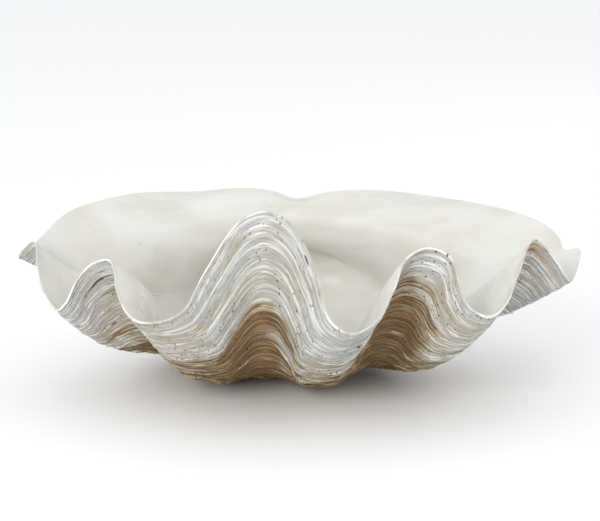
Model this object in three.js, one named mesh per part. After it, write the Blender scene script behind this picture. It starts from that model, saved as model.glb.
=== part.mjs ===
import * as THREE from 'three';

// One valve of a giant clam, in millimetres, +Z up. It lies on its worn belly
// with the hollow side up, its folded margin towards -Y and its hinge at +Y.
// The skin is grown as the animal grows it: the margin, scaled and turned
// about the umbo, sweeps out the outside, and a wall is laid inside that.

// Points of the margin that its shape turns on, once round from the hinge notch.
const HINGE_TO_LEFT_END = [
  [-4, 173, 177], [-33, 180, 185], [-71, 183, 188], [-125, 176, 185], [-189, 148, 189],
  [-237, 106, 187], [-267, 62, 182], [-286, 30, 167], [-312, 8, 144],
];
const LEFT_END_FOLD = [[-291, -18, 167], [-283, -57, 150], [-270, -95, 129]];
const FIRST_RIB = [[-250, -123, 117], [-240, -123, 126]];
const FIRST_FOLD = [
  [-228, -116, 150], [-215, -109, 165], [-202, -105, 168], [-194, -118, 160], [-188, -139, 139],
];
const SECOND_RIB = [[-171, -164, 120], [-148, -182, 119], [-115, -196, 135]];
const MIDDLE_FOLD = [
  [-92, -193, 176], [-58, -192, 227], [-33, -197, 238], [-8, -192, 224], [15, -196, 178],
];
const THIRD_RIB = [[29, -202, 129], [54, -193, 111], [82, -184, 124]];
const THIRD_FOLD = [
  [97, -167, 150], [111, -146, 178], [134, -133, 187], [153, -141, 180], [161, -158, 151],
];
const FOURTH_RIB = [[171, -170, 132], [191, -170, 123], [214, -146, 131]];
const FOURTH_FOLD = [[230, -115, 156], [249, -84, 184], [269, -75, 164]];
const FIFTH_RIB = [[291, -58, 133], [305, -24, 139], [312, 13, 152]];
const RIGHT_END_TO_HINGE = [
  [297, 26, 149], [294, 40, 158], [280, 68, 169], [235, 114, 178], [162, 156, 183],
  [85, 179, 187], [35, 183, 183],
];
const MARGIN = [
  ...HINGE_TO_LEFT_END, ...LEFT_END_FOLD, ...FIRST_RIB, ...FIRST_FOLD, ...SECOND_RIB,
  ...MIDDLE_FOLD, ...THIRD_RIB, ...THIRD_FOLD, ...FOURTH_RIB, ...FOURTH_FOLD, ...FIFTH_RIB,
  ...RIGHT_END_TO_HINGE,
];

// Growth about the umbo. Age runs from 0 at the umbo to 1 at the margin.
const UMBO = new THREE.Vector3(-31, 179, 147);
const COIL_TURN = 3.01;
const COIL_RATE = 0.604;
const SIDEWAYS_RATE = 0.8125;
const OUTER_FOLD_FADE = 3.2;
const INNER_FOLD_FADE = 4.4;
const FOLD_SMOOTHING = 0.0663;

// In older rings the two side folds lie nearer the middle (margin point, points
// moved, points reached) and the middle fold is narrower. Both set in fast towards
// older rings and mostly die out in the oldest.
const FOLD_PULLS = [
  { point: 16, moved: -1.2, reach: 3 }, { point: 32, moved: 1.4, reach: 3.4 },
];
const MIDDLE_FOLD_POINT = 24;
const NARROWING = 1.2;
const NARROWING_REACH = 2.6;
const SHIFT_GROWS_OVER = 0.1;
const SHIFT_LEFT_IN_OLDEST = 0.3;
const SHIFT_DYING_FROM = 0.84;
const SHIFT_DYING_TO = 0.64;

// Wall: thin at the lip, thick over the belly, closed over the hinge end inside.
const LIP_THICKNESS = 4;
const LIP_ROUNDING = 1.5;
const JUST_BEFORE_LIP = 0.99;
const WALL_THICKNESS = 15;
const WALL_THICKENS_OVER = 0.25;
const HINGE_WALL_SHARE = 0.45;
const THINNING_SHARPNESS = 4;
const YOUNGEST_OUTER = 0.02;
const YOUNGEST_INNER = 0.22;
const WORN_DEPTH = 8;

// Ridges of the lining over the folds: nearest margin point, height, points reached.
const LINING_RIDGES = [
  { point: 16, height: 34, reach: 2.3 }, { point: 24, height: 12, reach: 2.2 },
  { point: 32, height: 20, reach: 2.2 }, { point: 39, height: 18, reach: 1.8 },
];
const RIDGE_RISES_OVER = 0.08;
const RIDGE_GONE_AT = 0.3;
const RIDGE_FULL_AT = 0.65;

// Facets.
const COLUMNS_PER_POINT = 3;
const COLUMNS = COLUMNS_PER_POINT * MARGIN.length;
const OUTER_ROWS = 15;
const INNER_ROWS = 11;

const SHELL_WHITE = 0xdfddd5;

// The margin as a smooth closed curve, sampled evenly from point to point.
function marginRing() {
  const points = MARGIN.map(([x, y, z]) => new THREE.Vector3(x, y, z));
  const curve = new THREE.CatmullRomCurve3(points, true, 'centripetal');
  return Array.from({ length: COLUMNS }, (_, column) => curve.getPoint(column / COLUMNS));
}

// The same ring with its folds ironed out by a bell-shaped running mean.
function withoutFolds(ring) {
  const bell = ring.map((_, step) => {
    const apart = Math.min(step, COLUMNS - step) / COLUMNS;
    return Math.exp(-0.5 * (apart / FOLD_SMOOTHING) ** 2);
  });
  const total = bell.reduce((sum, weight) => sum + weight, 0);
  return ring.map((_, column) => {
    const mean = new THREE.Vector3();
    bell.forEach((weight, step) => {
      mean.addScaledVector(ring[(column + step) % COLUMNS], weight / total);
    });
    return mean;
  });
}

// A bell over the columns: 1 at a margin point, fading over the points it reaches.
function bellAround(point, reach, column) {
  return Math.exp(-(((column / COLUMNS_PER_POINT - point) / reach) ** 2));
}

// How many columns further round the folds of that age are read.
function foldShift(age, column) {
  const grown = 1 - Math.exp(-(1 - age) / SHIFT_GROWS_OVER);
  const young = THREE.MathUtils.smoothstep(age, SHIFT_DYING_TO, SHIFT_DYING_FROM);
  const strength = grown * THREE.MathUtils.lerp(SHIFT_LEFT_IN_OLDEST, 1, young);
  const offMiddle = column / COLUMNS_PER_POINT - MIDDLE_FOLD_POINT;
  const narrowed = NARROWING * offMiddle * bellAround(MIDDLE_FOLD_POINT, NARROWING_REACH, column);
  const pulled = FOLD_PULLS.reduce((sum, { point, moved, reach }) => (
    sum + moved * bellAround(point, reach, column)
  ), 0);
  return COLUMNS_PER_POINT * strength * (narrowed + pulled);
}

// How far the margin stands off its plain ring, at a place between two columns.
function foldAt(column) {
  const place = THREE.MathUtils.euclideanModulo(column, COLUMNS);
  const before = Math.floor(place);
  return folds[before].clone().lerp(folds[(before + 1) % COLUMNS], place - before);
}

// The ring the margin made at a given age: smaller, less folded, coiled under the umbo.
function ringAtAge(age, foldFade) {
  const turn = COIL_TURN * (1 - age ** COIL_RATE);
  const stretch = new THREE.Vector3(age ** SIDEWAYS_RATE, age, age);
  return smoothMargin.map((plain, column) => {
    const reach = plain.clone().sub(UMBO);
    reach.addScaledVector(foldAt(column + foldShift(age, column)), age ** foldFade);
    reach.applyAxisAngle(new THREE.Vector3(1, 0, 0), turn);
    return reach.multiply(stretch).add(UMBO);
  });
}

// Unit vectors standing out of the shell along the ring of that age.
function outwardNormals(age, foldFade) {
  const step = 0.001;
  const ring = ringAtAge(age, foldFade);
  const younger = ringAtAge(age * (1 - step), foldFade);
  return ring.map((point, column) => {
    const ahead = ring[(column + 1) % COLUMNS];
    const behind = ring[(column + COLUMNS - 1) % COLUMNS];
    const along = ahead.clone().sub(behind);
    const growth = point.clone().sub(younger[column]);
    return along.cross(growth).normalize();
  });
}

// Wall thickness: the lip's at the margin, eased up to the belly's, and no more
// than a share of the way to the umbo, which thins it beside the hinge.
function wallThickness(age, distanceToUmbo) {
  const eased = THREE.MathUtils.smoothstep(1 - age, 0, WALL_THICKENS_OVER);
  const wanted = THREE.MathUtils.lerp(LIP_THICKNESS, WALL_THICKNESS, eased);
  const most = HINGE_WALL_SHARE * distanceToUmbo;
  const sum = wanted ** -THINNING_SHARPNESS + most ** -THINNING_SHARPNESS;
  return sum ** (-1 / THINNING_SHARPNESS);
}

// What the lining's ridges add to the wall: none at the lip, none near the hinge.
function ridgeThickness(age, column) {
  const rise = 1 - Math.exp(-(1 - age) / RIDGE_RISES_OVER);
  const along = rise * THREE.MathUtils.smoothstep(age, RIDGE_GONE_AT, RIDGE_FULL_AT);
  return LINING_RIDGES.reduce((sum, { point, height, reach }) => (
    sum + height * along * bellAround(point, reach, column)
  ), 0);
}

// Inner skin at a given age: the less folded ring, moved inwards by the wall.
function innerRing(age) {
  const normals = outwardNormals(age, INNER_FOLD_FADE);
  return ringAtAge(age, INNER_FOLD_FADE).map((point, column) => {
    const wall = wallThickness(age, point.distanceTo(UMBO)) + ridgeThickness(age, column);
    return point.addScaledVector(normals[column], -wall);
  });
}

// The lip's crest: between the two skins and a little beyond them.
function lipRing(outer, inner) {
  const younger = ringAtAge(JUST_BEFORE_LIP, OUTER_FOLD_FADE);
  return outer.map((point, column) => {
    const onward = point.clone().sub(younger[column]).normalize();
    const middle = point.clone().lerp(inner[column], 0.5);
    return middle.addScaledVector(onward, LIP_ROUNDING);
  });
}

// Ages spread evenly between two limits.
function ages(from, to, count) {
  return Array.from({ length: count }, (_, i) => THREE.MathUtils.lerp(from, to, i / (count - 1)));
}

// Whole section of the wall: outside from beak to margin, lip, inside back to the hinge.
function allRings() {
  const outer = ages(YOUNGEST_OUTER, 1, OUTER_ROWS).map((age) => ringAtAge(age, OUTER_FOLD_FADE));
  const inner = ages(1, YOUNGEST_INNER, INNER_ROWS).map(innerRing);
  return [...outer, lipRing(outer.at(-1), inner[0]), ...inner];
}

// Grind the lowest part of the belly to one level, as wear does, and set it on z = 0.
function wornAndSetDown(rings) {
  const box = new THREE.Box3().setFromPoints(rings.flat());
  const ground = box.min.z + WORN_DEPTH;
  const centre = box.getCenter(new THREE.Vector3());
  rings.flat().forEach((point) => {
    point.set(point.x - centre.x, point.y - centre.y, Math.max(point.z - ground, 0));
  });
  return rings;
}

function meanPoint(ring) {
  const sum = ring.reduce((total, point) => total.add(point), new THREE.Vector3());
  return sum.divideScalar(ring.length);
}

// One closed skin through all the rings, with a point closing each end.
function skinThrough(rings) {
  const points = [...rings.flat(), meanPoint(rings[0]), meanPoint(rings.at(-1))];
  const firstPole = points.length - 2;
  const lastPole = points.length - 1;
  const lastRow = (rings.length - 1) * COLUMNS;
  const faces = [];
  for (let column = 0; column < COLUMNS; column += 1) {
    const next = (column + 1) % COLUMNS;
    faces.push(firstPole, next, column);
    faces.push(lastPole, lastRow + column, lastRow + next);
    for (let row = 0; row < lastRow; row += COLUMNS) {
      faces.push(row + column, row + next, row + COLUMNS + next);
      faces.push(row + column, row + COLUMNS + next, row + COLUMNS + column);
    }
  }
  const geometry = new THREE.BufferGeometry().setFromPoints(points);
  geometry.setIndex(faces);
  geometry.computeVertexNormals();
  return geometry;
}

function clamShell() {
  const material = new THREE.MeshStandardMaterial({
    color: SHELL_WHITE, roughness: 0.6, metalness: 0,
  });
  const mesh = new THREE.Mesh(skinThrough(wornAndSetDown(allRings())), material);
  mesh.name = 'clam_shell';
  return mesh;
}

const margin = marginRing();
const smoothMargin = withoutFolds(margin);
const folds = margin.map((tip, column) => tip.clone().sub(smoothMargin[column]));

const group = new THREE.Group();
group.add(clamShell());

export default group;
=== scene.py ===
import math

import bpy
import numpy as np
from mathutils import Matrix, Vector


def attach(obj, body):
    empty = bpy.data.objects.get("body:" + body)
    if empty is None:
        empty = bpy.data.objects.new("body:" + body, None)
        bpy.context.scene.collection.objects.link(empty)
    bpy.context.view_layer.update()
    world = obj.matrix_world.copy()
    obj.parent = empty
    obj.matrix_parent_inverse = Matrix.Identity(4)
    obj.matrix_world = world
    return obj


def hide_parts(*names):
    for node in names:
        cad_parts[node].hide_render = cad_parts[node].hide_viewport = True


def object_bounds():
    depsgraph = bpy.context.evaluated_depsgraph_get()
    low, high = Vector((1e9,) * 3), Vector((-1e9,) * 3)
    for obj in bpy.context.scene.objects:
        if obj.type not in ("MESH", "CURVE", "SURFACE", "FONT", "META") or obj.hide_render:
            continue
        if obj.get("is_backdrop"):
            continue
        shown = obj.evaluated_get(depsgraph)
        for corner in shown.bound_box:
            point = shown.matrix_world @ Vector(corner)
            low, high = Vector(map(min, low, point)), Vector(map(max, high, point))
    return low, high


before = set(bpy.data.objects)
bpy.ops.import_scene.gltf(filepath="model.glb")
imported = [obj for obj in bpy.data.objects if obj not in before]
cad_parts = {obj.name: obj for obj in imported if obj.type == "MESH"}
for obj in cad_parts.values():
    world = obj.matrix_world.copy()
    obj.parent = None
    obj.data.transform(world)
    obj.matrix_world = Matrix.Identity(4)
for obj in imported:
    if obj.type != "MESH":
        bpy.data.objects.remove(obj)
cad_low, cad_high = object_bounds()


# ------------------------------------------------------------------- the valve
# One valve of a giant clam: aragonite, grown in one piece. The animal adds a new
# lamella under the old margin again and again, so the outside is a stack of fine
# ledges that follow the folded margin, and the inside is lined with porcelain.

# The margin, once round from the hinge notch by way of the left end.
MARGIN = np.array([
    (-.004, .173, .177), (-.033, .180, .185), (-.071, .183, .188), (-.125, .176, .185),
    (-.189, .148, .189), (-.237, .106, .187), (-.267, .062, .182), (-.286, .030, .167),
    # left end and its small fold
    (-.312, .008, .144), (-.291, -.018, .167), (-.283, -.057, .150), (-.270, -.095, .129),
    # first rib and first fold
    (-.250, -.123, .117), (-.240, -.123, .126), (-.228, -.116, .150), (-.215, -.109, .165),
    (-.202, -.105, .168), (-.194, -.118, .160), (-.188, -.139, .139),
    # second rib and middle fold
    (-.171, -.164, .120), (-.148, -.182, .119), (-.115, -.196, .135), (-.092, -.193, .176),
    (-.058, -.192, .227), (-.033, -.197, .238), (-.008, -.192, .224), (.015, -.196, .178),
    # third rib and third fold
    (.029, -.202, .129), (.054, -.193, .111), (.082, -.184, .124), (.097, -.167, .150),
    (.111, -.146, .178), (.134, -.133, .187), (.153, -.141, .180), (.161, -.158, .151),
    # fourth rib and fourth fold
    (.171, -.170, .132), (.191, -.170, .123), (.214, -.146, .131), (.230, -.115, .156),
    (.249, -.084, .184), (.269, -.075, .164),
    # fifth rib and right end
    (.291, -.058, .133), (.305, -.024, .139), (.312, .013, .152), (.297, .026, .149),
    # back margin to the hinge
    (.294, .040, .158), (.280, .068, .169), (.235, .114, .178), (.162, .156, .183),
    (.085, .179, .187), (.035, .183, .183),
])
POINTS = len(MARGIN)
LEFT_END, FIRST_FOLD, MIDDLE_FOLD = 8, 16, 24
THIRD_FOLD, FOURTH_FOLD, RIGHT_END = 32, 39, 44
COLUMNS_AT_BACK, COLUMNS_AT_FOLDS = 3, 7

# Growth about the umbo. Age is 0 at the umbo and 1 at the margin.
UMBO = np.array((-.031, .179, .147))
COIL_TURN, COIL_RATE, SIDEWAYS_RATE = 3.01, .604, .8125
OUTER_FOLD_FADE, INNER_FOLD_FADE, FOLD_SMOOTHING = 3.2, 4.4, .0663
LIP, LIP_ROUNDING, WALL, WALL_THICKENS_OVER = .004, .0015, .015, .25
HINGE_WALL_SHARE, THINNING_SHARPNESS = .45, 4.0
YOUNGEST_OUTER, YOUNGEST_INNER = .02, .22
WORN_DEPTH = .008

# In older rings the side folds lie nearer the middle (margin point, points moved,
# points reached) and the middle fold is narrower. Both mostly die out in the oldest.
PULLS = ((FIRST_FOLD, -1.2, 3.0), (THIRD_FOLD, 1.4, 3.4))
NARROWING, NARROWING_REACH = 1.2, 2.6
SHIFT_GROWS_OVER, SHIFT_LEFT_IN_OLDEST, SHIFT_DIES = .10, .3, (.64, .84)

# Ridges of the lining over the folds: margin point, height, points reached.
RIDGES = ((FIRST_FOLD, .034, 2.3), (MIDDLE_FOLD, .012, 2.2),
          (THIRD_FOLD, .020, 2.2), (FOURTH_FOLD, .018, 1.8))
RIDGE_RISES_OVER, RIDGE_GONE_AT, RIDGE_FULL_AT = .08, .30, .65

# Lamellae: their usual width in age, how far their ledges stand out, their waver.
LAMELLA_AGE, LAMELLA_RELIEF, LAMELLA_WAVER = .0088, .0016, .0035

chance = np.random.default_rng(11)


def margin_at(place):
    """Closed centripetal Catmull-Rom curve through MARGIN: on each span between two
    points, the cubic whose end slopes weigh the neighbouring spans by the square
    root of their lengths. place runs from 0 to 1 once round, evenly by points."""
    span = np.floor(place * POINTS).astype(int)
    w = (place * POINTS - span)[:, None]
    a, b, c, d = (MARGIN[(span + k) % POINTS] for k in (-1, 0, 1, 2))
    before, between, after = (
        np.sqrt(np.linalg.norm(q - p, axis=1))[:, None] for p, q in ((a, b), (b, c), (c, d)))
    start = between * ((b - a) / before - (c - a) / (before + between) + (c - b) / between)
    end = between * ((c - b) / between - (d - b) / (between + after) + (d - c) / after)
    return (b + start * w + (3 * (c - b) - 2 * start - end) * w**2
            + (2 * (b - c) + start + end) * w**3)


def without_folds(place):
    """Running mean of the margin with a bell-shaped weight of the distance round."""
    samples = 12 * POINTS
    ring = np.arange(samples) / samples
    apart = np.abs(place[:, None] - ring[None])
    apart = np.minimum(apart, 1 - apart)
    weight = np.exp(-.5 * (apart / FOLD_SMOOTHING)**2)
    return weight @ margin_at(ring) / weight.sum(1, keepdims=True)


def grown(age, fade):
    """Skin of the valve at age[row, column]: the vector from the umbo to the plain
    ring, plus the folds, read a little further round and shrunk by age to the power
    fade; all turned about the hinge line by COIL_TURN * (1 - age**COIL_RATE), and
    scaled by age, or more slowly sideways."""
    strength = 1 - np.exp((age - 1) / SHIFT_GROWS_OVER)
    strength *= SHIFT_LEFT_IN_OLDEST + (1 - SHIFT_LEFT_IN_OLDEST) * eased(age, *SHIFT_DIES)
    shift = NARROWING * (place * POINTS - MIDDLE_FOLD) * near(MIDDLE_FOLD, NARROWING_REACH)
    shift = shift + sum(moved * near(point, reach) for point, moved, reach in PULLS)
    read_at = ((place + strength * shift / POINTS) % 1).ravel()
    folds = margin_at(read_at) - np.stack(
        [np.interp(read_at, place, axis, period=1) for axis in smooth.T], -1)
    reach = (smooth - UMBO) + (age**fade)[..., None] * folds.reshape(age.shape + (3,))
    turn = COIL_TURN * (1 - age**COIL_RATE)
    y = reach[..., 1] * np.cos(turn) - reach[..., 2] * np.sin(turn)
    z = reach[..., 1] * np.sin(turn) + reach[..., 2] * np.cos(turn)
    return UMBO + np.stack((age**SIDEWAYS_RATE * reach[..., 0], age * y, age * z), -1)


def outward(age, fade):
    """Unit normals of grown(age, fade): across the ring, crossed with the growth."""
    a_little_younger = .999
    here = grown(age, fade)
    along = np.roll(here, -1, 1) - np.roll(here, 1, 1)
    normal = np.cross(along, here - grown(age * a_little_younger, fade))
    return normal / np.linalg.norm(normal, axis=-1, keepdims=True)


def eased(value, low, high):
    """0 below low, 1 above high, and the smooth cubic step between them."""
    t = np.clip((value - low) / (high - low), 0, 1)
    return t * t * (3 - 2 * t)


def drift(rows, waves, slowest, quickest):
    """Smooth random values, one closed ring per row: a sum of sines round the
    margin with whole wave numbers and random phases, about -1 to 1."""
    number = chance.integers(slowest, quickest + 1, waves)
    phase = chance.uniform(0, 2 * np.pi, (rows, waves))
    size = chance.uniform(.5, 1, waves)
    angle = 2 * np.pi * place[None, :, None] * number + phase[:, None]
    return (np.sin(angle) * size).sum(-1) / np.sqrt((size**2).sum())


def near(point, reach):
    """Bell over the columns, centred on a margin point, reach points wide."""
    apart = np.abs(place * POINTS - point)
    apart = np.minimum(apart, POINTS - apart)
    return np.exp(-(apart / reach)**2)


# Columns lie closer together round the folds than along the plain back.
spans = np.arange(POINTS)
folded = (spans >= LEFT_END) & (spans < RIGHT_END)
per_span = np.where(folded, COLUMNS_AT_FOLDS, COLUMNS_AT_BACK)
place = np.concatenate([(s + np.arange(n) / n) / POINTS for s, n in zip(spans, per_span)])
margin, smooth = margin_at(place), without_folds(place)
columns = len(place)

# Lamellae from the margin back to the umbo, each a little random in width and
# each with four rows: three up its slope and one at the brink of its ledge.
OLDEST_LAMELLA = YOUNGEST_OUTER + .05
COARSER_WITH_AGE, COARSE_BELOW, COARSE_EXTRA = 2.2, .55, 1.3
edges = [1.0]
while edges[-1] > OLDEST_LAMELLA:
    coarser = 1 + COARSER_WITH_AGE * (1 - edges[-1])**2 + COARSE_EXTRA * (edges[-1] < COARSE_BELOW)
    edges.append(edges[-1] - LAMELLA_AGE * coarser * chance.uniform(.55, 1.5))
edges = np.array(edges[::-1])
SLOPE, SLOPE_BULGE = np.array((0, .4, .78, .94)), .8
row_age = (edges[:-1, None] + np.diff(edges)[:, None] * SLOPE).ravel()
row_age = np.append(row_age, 1.0)
lamella = np.repeat(np.arange(len(edges) - 1), len(SLOPE))
lamella = np.append(lamella, lamella[-1])
height = np.append(np.tile((SLOPE / SLOPE[-1])**SLOPE_BULGE, len(edges) - 1), 1.0)

# The rings waver a little, and each ledge stands out more in some places.
WAVER_TURNS, OTHER_WAVER_TURNS, STEADY_NEAR_MARGIN = 23, 31, 12
RELIEF_MEAN, RELIEF_SPREAD, RELIEF_LEAST, RELIEF_MOST = .55, .42, .05, 1.4
RELIEF_KINDS, RELIEF_IN_OLDEST, BRINK_LEVEL = (.55, .8, 1.0, 1.5), .35, 1.5
rows, lamellae = len(row_age), len(edges) - 1
waver = drift(1, 14, 2, 30) * np.sin(row_age * WAVER_TURNS)[:, None]
waver = waver + drift(1, 14, 2, 30) * np.cos(row_age * OTHER_WAVER_TURNS)[:, None]
loose = 1 - row_age[:, None]**STEADY_NEAR_MARGIN
outer_age = row_age[:, None] - LAMELLA_WAVER * (.5 + .5 * waver) * loose
relief = RELIEF_MEAN + RELIEF_SPREAD * drift(lamellae, 18, 1, 34)
relief = np.clip(relief, RELIEF_LEAST, RELIEF_MOST)
relief *= chance.choice(RELIEF_KINDS, (lamellae, 1))
relief *= (RELIEF_IN_OLDEST + (1 - RELIEF_IN_OLDEST) * eased(edges[1:], .1, .6))[:, None]
ledge = relief[lamella] * height[:, None]
sunk = LAMELLA_RELIEF * (BRINK_LEVEL - ledge)
outer = grown(outer_age, OUTER_FOLD_FADE) - outward(outer_age, OUTER_FOLD_FADE) * sunk[..., None]

# The lining: the less folded skin, one wall's thickness further in.
INNER_ROWS, CLOSER_AT_LIP = 52, 1.25
inward = np.arange(INNER_ROWS) / (INNER_ROWS - 1)
inner_age = 1 - (1 - YOUNGEST_INNER) * inward**CLOSER_AT_LIP
inner_age = inner_age[:, None] * np.ones(columns)
inner = grown(inner_age, INNER_FOLD_FADE)
thick = LIP + (WALL - LIP) * eased(1 - inner_age, 0, WALL_THICKENS_OVER)
most = HINGE_WALL_SHARE * np.linalg.norm(inner - UMBO, axis=-1)
thick = (thick**-THINNING_SHARPNESS + most**-THINNING_SHARPNESS)**(-1 / THINNING_SHARPNESS)
rise = 1 - np.exp((inner_age - 1) / RIDGE_RISES_OVER)
rise *= eased(inner_age, RIDGE_GONE_AT, RIDGE_FULL_AT)
thick = thick + rise * sum(tall * near(point, reach) for point, tall, reach in RIDGES)
inner = inner - outward(inner_age, INNER_FOLD_FADE) * thick[..., None]

# The lip: half an ellipse from the outer edge over to the inner one.
LIP_ROWS, JUST_BEFORE_LIP = 5, .99
over = np.linspace(0, np.pi, LIP_ROWS + 2)[1:-1, None, None]
onward = outer[-1] - grown(np.full((1, columns), JUST_BEFORE_LIP), OUTER_FOLD_FADE)[0]
onward /= np.linalg.norm(onward, axis=1, keepdims=True)
middle, half = (outer[-1] + inner[0]) / 2, (outer[-1] - inner[0]) / 2
lip = middle + half * np.cos(over) + onward * LIP_ROUNDING * np.sin(over)

# Set down on its worn belly, in the place and to the size of the frame.
grid = np.concatenate((outer, lip, inner))
low, high = grid.min((0, 1)), grid.max((0, 1))
low[2] += WORN_DEPTH
grid = (grid - low) / (high - low) * np.array(cad_high - cad_low) + np.array(cad_low)
grid[..., 2] = np.maximum(grid[..., 2], cad_low.z)

# Stain: brown in the old part of the grooves and on the underside.
age = np.concatenate((outer_age, np.ones((LIP_ROWS, columns)), inner_age))


def older(sure, never):
    """1 in rings of an age below sure, 0 above never, and the cubic step between."""
    return eased(-age, -never, -sure)


in_middle_groove = .64 * near(MIDDLE_FOLD - .4, 1.3) + .38 * near(MIDDLE_FOLD - 2.4, 1.5)
stain_and_shade = older(.850, .905) * (.26 + in_middle_groove)
stain_and_shade += .38 * older(.72, .84) * near(MIDDLE_FOLD + 1, 14.0)
stain_and_shade += near(THIRD_FOLD - .8, 2.2) * (.34 + .50 * older(.86, 1))
stain_and_shade += near(FIRST_FOLD + .8, 2.5) * .45 * older(.80, .90)
stain_and_shade += near(FOURTH_FOLD - 1, 2.0) * .22
stain_and_shade = np.clip(stain_and_shade, 0, 1)

# On the lining: a smear under the hinge notch, a faint tan tint of painted shade on the flank
# inside the second rib, and tan along the edge of the right-hand ribs and at the foot of the first
# one.
NOTCH, FIRST_RIB, FOURTH_RIB = 0, 12, 36.5
inner_start = rows + LIP_ROWS
smear = near(NOTCH, .5) * eased(inner_age, .90, .95) * (1 - eased(inner_age, .97, .99))
painted_shade_tint = near(FIRST_FOLD + 2.4, 1.8) * eased(inner_age, .78, .88) * (1 - eased(inner_age, .95, 1))
edge_tan = eased(inner_age, .982, 1) * (near(FOURTH_RIB, 1.8) + 1.4 * near(FIRST_RIB, .5))
stain_and_shade[inner_start:] = np.clip(.8 * smear + .30 * painted_shade_tint + .7 * edge_tan, 0, 1)

# Borers' pits are commoner in older rings and right of the third fold; slits are
# commonest on the first fold.
pitted = .33 + .30 * older(.88, .97) + .40 * older(.80, .88)
pitted = np.clip(pitted + near(THIRD_FOLD + 1, 3.0) * .3, 0, 1)
slit = np.clip(.7 * near(FIRST_FOLD, 3.0) * eased(age, .80, .88) + .18, 0, 1)

# Growth coordinates in metres: round a circle as long as the margin, and up by age.
step = np.linalg.norm(np.roll(margin, -1, 0) - margin, axis=1)
round_margin = 2 * np.pi * np.concatenate(((0,), np.cumsum(step)[:-1])) / step.sum()
radius = step.sum() / (2 * np.pi)
GROWTH_LENGTH = .7
growth = np.stack((
    np.broadcast_to(radius * np.cos(round_margin), age.shape),
    np.broadcast_to(radius * np.sin(round_margin), age.shape),
    GROWTH_LENGTH * age), -1)


def closed_skin(grid):
    """Vertices and faces of a grid whose columns close round, with a pole at each
    end: quads between the rows, and fans of triangles to the two poles."""
    rows, columns = grid.shape[:2]
    vertices = np.concatenate((grid.reshape(-1, 3), grid[:1].mean(1), grid[-1:].mean(1)))
    here = np.arange(rows * columns).reshape(rows, columns)
    beside = np.roll(here, -1, 1)
    quads = np.stack((here[:-1], beside[:-1], beside[1:], here[1:]), -1).reshape(-1, 4)
    first, last = np.full(columns, rows * columns), np.full(columns, rows * columns + 1)
    fans = np.concatenate((
        np.stack((first, beside[0], here[0]), -1), np.stack((last, here[-1], beside[-1]), -1)))
    return vertices, quads, fans


vertices, quads, fans = closed_skin(grid)
valve_mesh = bpy.data.meshes.new("giant_clam_valve")
valve_mesh.vertices.add(len(vertices))
valve_mesh.vertices.foreach_set("co", vertices.ravel())
corners = np.concatenate((quads.ravel(), fans.ravel()))
sizes = np.concatenate((np.full(len(quads), 4), np.full(len(fans), 3)))
starts = np.concatenate(((0,), np.cumsum(sizes)[:-1]))
valve_mesh.loops.add(len(corners))
valve_mesh.loops.foreach_set("vertex_index", corners.astype(np.int32))
valve_mesh.polygons.add(len(sizes))
valve_mesh.polygons.foreach_set("loop_start", starts.astype(np.int32))
valve_mesh.polygons.foreach_set("use_smooth", np.ones(len(sizes), bool))
face_row = np.repeat(np.arange(len(grid) - 1), columns)
lined = (face_row >= rows + LIP_ROWS // 2).astype(np.int32)
pole_lined = np.repeat((0, 1), columns).astype(np.int32)
valve_mesh.polygons.foreach_set("material_index", np.concatenate((lined, pole_lined)))
valve_mesh.update(calc_edges=True)


def keep_on_points(name, kind, values):
    """Stores a value for each point of the grid, and their row's mean at each pole."""
    flat = values.reshape(grid.shape[0], columns, -1)
    flat = np.concatenate((flat.reshape(-1, flat.shape[-1]), flat[:1].mean(1), flat[-1:].mean(1)))
    layer = valve_mesh.attributes.new(name, kind, "POINT")
    layer.data.foreach_set("vector" if kind == "FLOAT_VECTOR" else "value", flat.ravel())


keep_on_points("growth", "FLOAT_VECTOR", growth)
keep_on_points("stain_and_shade", "FLOAT", stain_and_shade)
keep_on_points("pitted", "FLOAT", pitted)
keep_on_points("slit", "FLOAT", slit)
lip_ledge = np.clip(.32 + .3 * drift(1, 24, 3, 60), .05, .8)
full_ledge = np.concatenate((ledge / RELIEF_MOST, lip_ledge * np.ones((LIP_ROWS + INNER_ROWS, 1))))
keep_on_points("ledge", "FLOAT", full_ledge)

valve = bpy.data.objects.new("giant_clam_valve", valve_mesh)
bpy.context.collection.objects.link(valve)


class Finish:
    """A material's nodes, added one at a time: each call makes a node, sets its
    plain values, and links the outputs it is given to its inputs by name."""

    def __init__(self, name):
        self.material = bpy.data.materials.new(name)
        self.material.use_nodes = True
        self.tree = self.material.node_tree
        self.shader = self.tree.nodes["Principled BSDF"]

    def put(self, kind, inputs, **settings):
        made = self.tree.nodes.new(kind)
        for key, value in settings.items():
            setattr(made, key, value)
        for key, value in inputs.items():
            self.feed(made.inputs[key], value)
        return made

    def feed(self, socket, value):
        if isinstance(value, bpy.types.NodeSocket):
            self.tree.links.new(value, socket)
        else:
            socket.default_value = value

    def layer(self, name, output="Fac"):
        return self.put("ShaderNodeAttribute", {}, attribute_name=name).outputs[output]

    def cloud(self, where, stretch, scale, detail=3.0, rough=.55):
        moved = self.put("ShaderNodeMapping", {"Vector": where, "Scale": stretch})
        noise = self.put("ShaderNodeTexNoise", {
            "Vector": moved.outputs[0], "Scale": scale, "Detail": detail, "Roughness": rough})
        return noise.outputs["Fac"]

    def between(self, value, low, high, to_low=0.0, to_high=1.0):
        return self.put("ShaderNodeMapRange", {
            "Value": value, "From Min": low, "From Max": high,
            "To Min": to_low, "To Max": to_high}, interpolation_type="SMOOTHSTEP").outputs[0]

    def reckon(self, operation, first, second, third=0.0):
        return self.put("ShaderNodeMath", {0: first, 1: second, 2: third},
                        operation=operation).outputs[0]

    def blend(self, factor, first, second, how="MIX"):
        mixed = self.put("ShaderNodeMix", {}, data_type="RGBA", blend_type=how, clamp_factor=True)
        for index, value in ((0, factor), (6, first), (7, second)):
            self.feed(mixed.inputs[index], value)
        return mixed.outputs[2]


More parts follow.
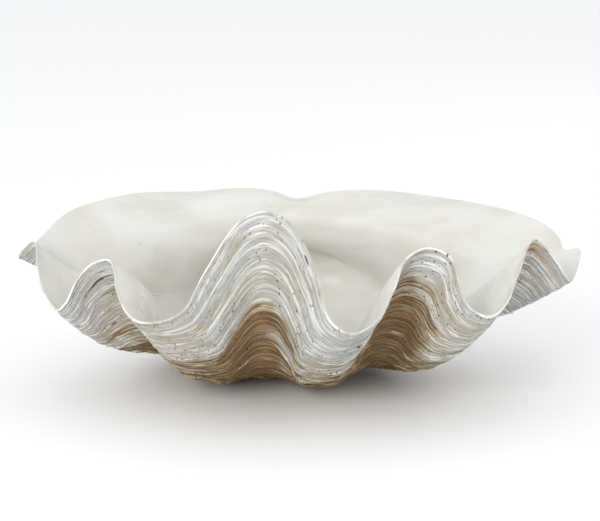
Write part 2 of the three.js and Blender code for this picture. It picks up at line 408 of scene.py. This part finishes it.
# Outside: chalky, ledged, pitted by borers, stained brown where it lay in the sand.
CHALK_WHITE = (.86, .86, .845, 1)
# The grey below is partly the chalk's own tone and partly painted shade for the valleys between
# the ledges.
CHALK_GREY_AND_VALLEY_SHADE = (.50, .49, .46, 1)
CHALK_WARM = (.78, .68, .52, 1)
STAIN_PALE = (.52, .42, .27, 1)
STAIN_BROWN = (.31, .19, .08, 1)
# The darkest brown is partly stain and partly painted shade for the stained valleys.
STAIN_DARK_AND_SHADE = (.12, .075, .038, 1)
# The pit colour is painted shade inside the holes.
PIT_SHADE = (.05, .038, .03, 1)

outside = Finish("chalky_outside")
grow = outside.layer("growth", "Vector")
solid = outside.put("ShaderNodeTexCoord", {}).outputs["Object"]
fine = outside.between(outside.cloud(grow, (.035, .035, 1), 300, detail=4, rough=.65), .40, .62)
lines = outside.between(outside.cloud(grow, (.05, .05, 1), 650, detail=2, rough=.5), .42, .58)
broad = outside.cloud(grow, (.10, .10, 1), 60, detail=4, rough=.6)
patches = outside.cloud(solid, (1, 1, 1), 22, detail=5, rough=.6)
grain = outside.cloud(solid, (1, 1, 1), 520, detail=3, rough=.6)
raised = outside.reckon("MULTIPLY_ADD", outside.layer("ledge"), .50, outside.reckon(
    "MULTIPLY_ADD", fine, .36, outside.reckon("MULTIPLY", lines, .28)))
# Grey where the relief is low and white where it is raised: partly the chalk's own tone, partly
# painted shade in the valleys between the ledges.
tone_and_relief_shading = outside.between(raised, .20, .80)
colour = outside.blend(tone_and_relief_shading, CHALK_GREY_AND_VALLEY_SHADE, CHALK_WHITE)
warmth = outside.reckon("MULTIPLY", outside.between(patches, .42, .70), .55)
colour = outside.blend(warmth, colour, CHALK_WARM, "MULTIPLY")

# The stain sits deepest in the valleys between ledges, where it is darkened further by painted
# shade; the brinks are left paler by a painted highlight.
soaked = outside.reckon("MULTIPLY_ADD", broad, 1.9, outside.reckon("MULTIPLY", patches, 1.1))
soaked = outside.reckon("MULTIPLY_ADD", raised, -.45, soaked)
soaked = outside.reckon("MULTIPLY_ADD", outside.layer("stain_and_shade"), 1.25, soaked)
pale = outside.reckon("MULTIPLY", outside.between(soaked, 1.45, 2.00), .8)
colour = outside.blend(pale, colour, STAIN_PALE, "MIX")
colour = outside.blend(outside.reckon("MULTIPLY", outside.between(soaked, 1.75, 2.40), .9),
                       colour, STAIN_BROWN)
stained_valley_shade = outside.reckon("MULTIPLY", outside.between(raised, .50, .22), outside.between(
    soaked, 1.70, 2.20))
colour = outside.blend(outside.reckon("MULTIPLY", stained_valley_shade, .8), colour, STAIN_DARK_AND_SHADE)
# Painted highlight: the brinks of the ledges are lightened towards chalk white.
painted_brink_highlight = outside.reckon("MULTIPLY", outside.between(raised, .72, .95), .45)
colour = outside.blend(painted_brink_highlight, colour, CHALK_WHITE)

# Pits follow the growth lines in broken rows; slits are short cuts along a line.
rows_of_pits = outside.between(outside.cloud(grow, (.07, .07, 1), 130, detail=2), .42, .52)
cells = outside.put("ShaderNodeTexVoronoi", {"Vector": grow, "Scale": 230.0})
near_pit = outside.between(cells.outputs["Distance"], .27, .17)
chosen = outside.put("ShaderNodeSeparateColor", {"Color": cells.outputs["Color"]}).outputs[0]
chosen = outside.between(chosen, .44, .48)
pit = outside.reckon("MULTIPLY", near_pit, chosen)
pit = outside.reckon("MULTIPLY", pit, outside.between(
    outside.reckon("MULTIPLY", rows_of_pits, outside.layer("pitted")), .15, .5))
cut = outside.cloud(grow, (.10, .10, 1), 300, detail=2, rough=.5)
cut = outside.between(outside.reckon("MULTIPLY_ADD", outside.layer("slit"), -.09, cut), .28, .20)
hollow = outside.reckon("MAXIMUM", pit, cut)
# Painted shade: the pits and slits are darkened almost to black, as shade inside the holes.
colour = outside.blend(outside.reckon("MULTIPLY", hollow, .88), colour, PIT_SHADE)

bump_height = outside.reckon("MULTIPLY_ADD", fine, .55, outside.reckon("MULTIPLY", grain, .22))
bump_height = outside.reckon("MULTIPLY_ADD", lines, .40, bump_height)
bump_height = outside.reckon("MULTIPLY_ADD", hollow, -1.2, bump_height)
bump = outside.put("ShaderNodeBump", {"Height": bump_height, "Distance": .0016, "Strength": 1.0})
outside.feed(outside.shader.inputs["Base Color"], colour)
outside.feed(outside.shader.inputs["Normal"], bump.outputs[0])
outside.shader.inputs["Roughness"].default_value = .78
outside.shader.inputs["Specular IOR Level"].default_value = .3

# Inside: smooth cream porcelain, faintly clouded, with a satin gloss.
PORCELAIN = (.73, .722, .688, 1)
PORCELAIN_CREAM = (.67, .65, .59, 1)
PORCELAIN_COOL = (.56, .565, .51, 1)
SPECK_TAN = (.48, .42, .33, 1)
# The lining tan is also used for a tint of painted shade inside the second rib.
LINING_STAIN_AND_SHADE = (.46, .39, .27, 1)

inside = Finish("porcelain_inside")
grow = inside.layer("growth", "Vector")
solid = inside.put("ShaderNodeTexCoord", {}).outputs["Object"]
bands = inside.cloud(solid, (.5, 1.6, 1.6), 14, detail=5, rough=.6)
clouds = inside.cloud(solid, (.7, 1.8, 1.8), 8, detail=6, rough=.6)
colour = inside.blend(inside.between(bands, .36, .66), PORCELAIN, PORCELAIN_CREAM)
colour = inside.blend(inside.reckon("MULTIPLY", inside.between(clouds, .48, .70), .62),
                      colour, PORCELAIN_COOL)
marked = inside.reckon("MULTIPLY", inside.layer("stain_and_shade"), inside.between(
    inside.cloud(solid, (.6, 1.8, 1.8), 55, detail=4, rough=.65), .36, .60))
# Real stains on the lining, and inside the second rib a tint of painted shade.
colour = inside.blend(marked, colour, LINING_STAIN_AND_SHADE)
specks = inside.put("ShaderNodeTexVoronoi", {"Vector": solid, "Scale": 60.0})
speck = inside.between(specks.outputs["Distance"], .12, .05)
speck_kept = inside.put("ShaderNodeSeparateColor", {"Color": specks.outputs["Color"]}).outputs[0]
speck = inside.reckon("MULTIPLY", speck, inside.between(speck_kept, .80, .84))
colour = inside.blend(inside.reckon("MULTIPLY", speck, .5), colour, SPECK_TAN)
shy = inside.cloud(grow, (.05, .05, 1), 120, detail=3)
ripple = inside.cloud(solid, (.7, 1.5, 1.5), 40, detail=4)
inside.feed(inside.shader.inputs["Base Color"], colour)
bump = inside.put("ShaderNodeBump", {"Height": ripple, "Distance": .0012, "Strength": .35})
inside.feed(inside.shader.inputs["Normal"], bump.outputs[0])
inside.feed(inside.shader.inputs["Roughness"], inside.between(shy, .3, .7, .34, .46))

for finish in (outside, inside):
    valve_mesh.materials.append(finish.material)
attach(valve, "root")
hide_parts("clam_shell")


# ---------------------------------------------------------- floor, light, camera
# A plain white floor under an even pale sky, with a soft lamp in front on the left,
# a weak one behind on the right, and the camera a little above the shell's front.

FLOOR_HALF, FLOOR_GAP = 30.0, .0002
floor_mesh = bpy.data.meshes.new("floor")
floor_corners = [(x * FLOOR_HALF, y * FLOOR_HALF, cad_low.z - FLOOR_GAP)
                 for x, y in ((-1, -1), (1, -1), (1, 1), (-1, 1))]
floor_mesh.from_pydata(floor_corners, [], [(0, 1, 2, 3)])
floor = bpy.data.objects.new("floor", floor_mesh)
bpy.context.collection.objects.link(floor)
paper = bpy.data.materials.new("white_paper")
paper.use_nodes = True
paper_shader = paper.node_tree.nodes["Principled BSDF"]
paper_shader.inputs["Base Color"].default_value = (.96, .96, .96, 1)
paper_shader.inputs["Roughness"].default_value = .95
paper_shader.inputs["Specular IOR Level"].default_value = .1
floor_mesh.materials.append(paper)
floor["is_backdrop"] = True

world = bpy.data.worlds.new("studio")
bpy.context.scene.world = world
world.use_nodes = True
sky = world.node_tree.nodes["Background"]
sky.inputs["Color"].default_value = (.97, .985, 1, 1)
sky.inputs["Strength"].default_value = .97


def soft_lamp(name, place, aim, size, power, painted_shade_tint):
    """A square area lamp at place, turned to face aim."""
    lamp = bpy.data.lights.new(name, "AREA")
    lamp.size, lamp.energy, lamp.color = size, power, painted_shade_tint
    holder = bpy.data.objects.new(name, lamp)
    holder.location = place
    holder.rotation_euler = (Vector(aim) - Vector(place)).to_track_quat("-Z", "Y").to_euler()
    bpy.context.collection.objects.link(holder)


shell_centre = (cad_low + cad_high) / 2
soft_lamp("key", (-1.2, -2.5, 1.35), shell_centre, 1.3, 34, (1, .99, .97))
soft_lamp("fill", (1.6, 1.6, 1.8), shell_centre, 1.4, 5, (.95, .97, 1))

CAMERA_PITCH = math.radians(13)
CAMERA_DISTANCE = 1.82
CAMERA_AIM = Vector((.0008, -.0238, .1497))
camera_data = bpy.data.cameras.new("camera")
camera_data.lens = 100
camera_data.sensor_width = 36
camera = bpy.data.objects.new("camera", camera_data)
looking = Vector((0, math.cos(CAMERA_PITCH), -math.sin(CAMERA_PITCH)))
camera.location = CAMERA_AIM - CAMERA_DISTANCE * looking
camera.rotation_euler = looking.to_track_quat("-Z", "Y").to_euler()
bpy.context.collection.objects.link(camera)
bpy.context.scene.camera = camera
bpy.context.scene.view_settings.view_transform = "Standard"

made_low, made_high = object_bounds()
sizes = {"cad": [list(cad_low), list(cad_high)], "visual": [list(made_low), list(made_high)]}
